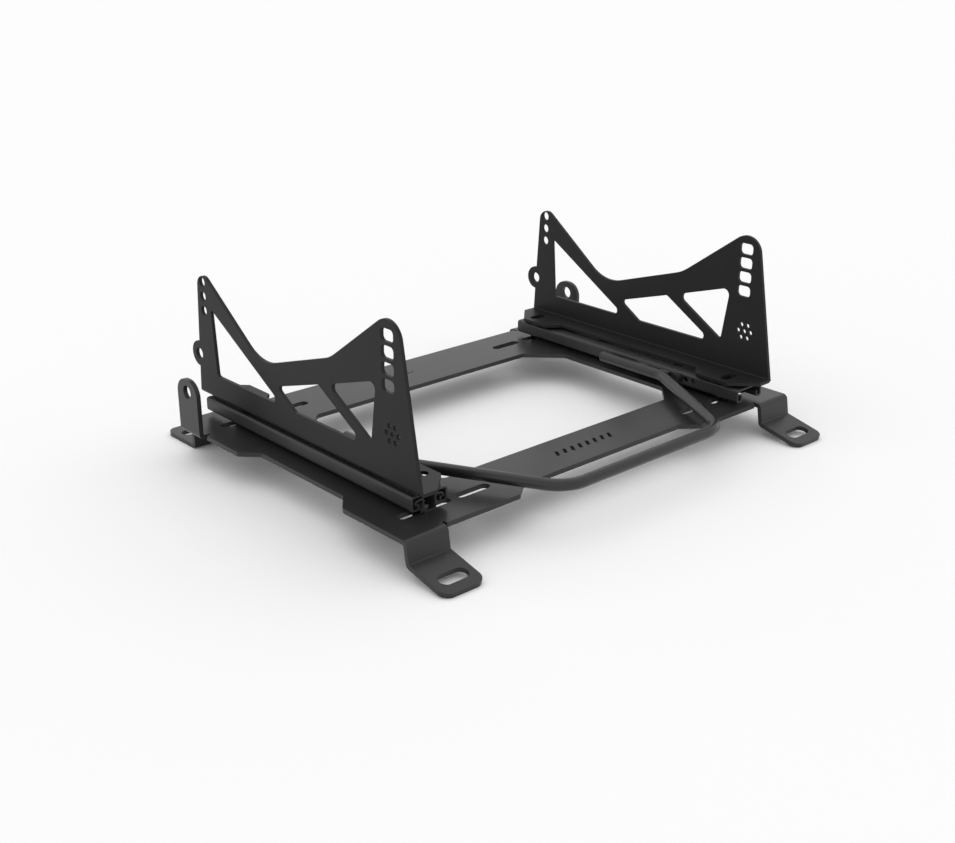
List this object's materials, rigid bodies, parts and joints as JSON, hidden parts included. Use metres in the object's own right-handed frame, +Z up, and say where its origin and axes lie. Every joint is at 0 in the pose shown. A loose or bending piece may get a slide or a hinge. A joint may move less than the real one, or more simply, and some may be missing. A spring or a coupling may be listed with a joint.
{
  "type": "seat base",
  "caption": "Vehicle seat base: folded floor plate, twin ball-bearing sliders with a towel-bar release, and pierced side brackets for a bucket seat.",
  "frame": {"origin": "on the floor, under the middle of the footprint", "axes": "+X towards the seat's right side, +Y towards the rear, +Z up"},
  "size_m": [0.466, 0.412, 0.1801],
  "materials": {
    "plate_coat": "satin black powder coat",
    "bracket_coat": "satin black powder coat",
    "rail_coat": "satin black powder coat",
    "handle_coat": "satin black powder coat",
    "pad_coat": "satin black powder coat",
    "lever_steel": "black phosphate",
    "pin_steel": "dark zinc plating",
    "fastener_zinc": "dark zinc plating",
    "cage_plastic": "moulded nylon",
    "ball_steel": "polished bearing steel"
  },
  "bodies": {
    "base": {"base_plate": "plate_coat", "left_lower_rail": "rail_coat", "right_lower_rail": "rail_coat", "rail_bolts": "fastener_zinc", "rail_washers": "fastener_zinc", "rail_nuts": "fastener_zinc"},
    "left_carriage": {"left_upper_rail": "rail_coat", "left_bracket": "bracket_coat", "left_spacer_pads": "pad_coat", "left_pivot_pin": "pin_steel"},
    "right_carriage": {"right_upper_rail": "rail_coat", "right_bracket": "bracket_coat", "right_spacer_pads": "pad_coat", "right_pivot_pin": "pin_steel"},
    "left_ball_run": {"left_inner_ball_cage": "cage_plastic", "left_outer_ball_cage": "cage_plastic", "left_balls": "ball_steel"},
    "right_ball_run": {"right_inner_ball_cage": "cage_plastic", "right_outer_ball_cage": "cage_plastic", "right_balls": "ball_steel"},
    "release": {"release_handle": "handle_coat", "left_latch_lever": "lever_steel", "right_latch_lever": "lever_steel"}
  },
  "joints": [
    {"name": "left_slide", "type": "slide", "parent": "base", "child": "left_carriage", "axis": [0, 1, 0], "range_m": [-0.045, 0.063]},
    {"name": "right_slide", "type": "slide", "parent": "base", "child": "right_carriage", "axis": [0, 1, 0], "range_m": [-0.045, 0.063]},
    {"name": "left_ball_roll", "type": "slide", "parent": "base", "child": "left_ball_run", "axis": [0, 1, 0], "range_m": [-0.0225, 0.0315]},
    {"name": "right_ball_roll", "type": "slide", "parent": "base", "child": "right_ball_run", "axis": [0, 1, 0], "range_m": [-0.0225, 0.0315]},
    {"name": "release_hinge", "type": "hinge", "parent": "left_carriage", "child": "release", "pos_m": [0, -0.084, 0.0425], "axis": [-1, 0, 0], "range_deg": [-3, 0], "stiffness_Nm_per_rad": 2, "springref_deg": -3}
  ],
  "couplings": [
    {"joint": "right_slide", "follows": "left_slide", "ratio": 1},
    {"joint": "left_ball_roll", "follows": "left_slide", "ratio": 0.5},
    {"joint": "right_ball_roll", "follows": "left_slide", "ratio": 0.5}
  ]
}
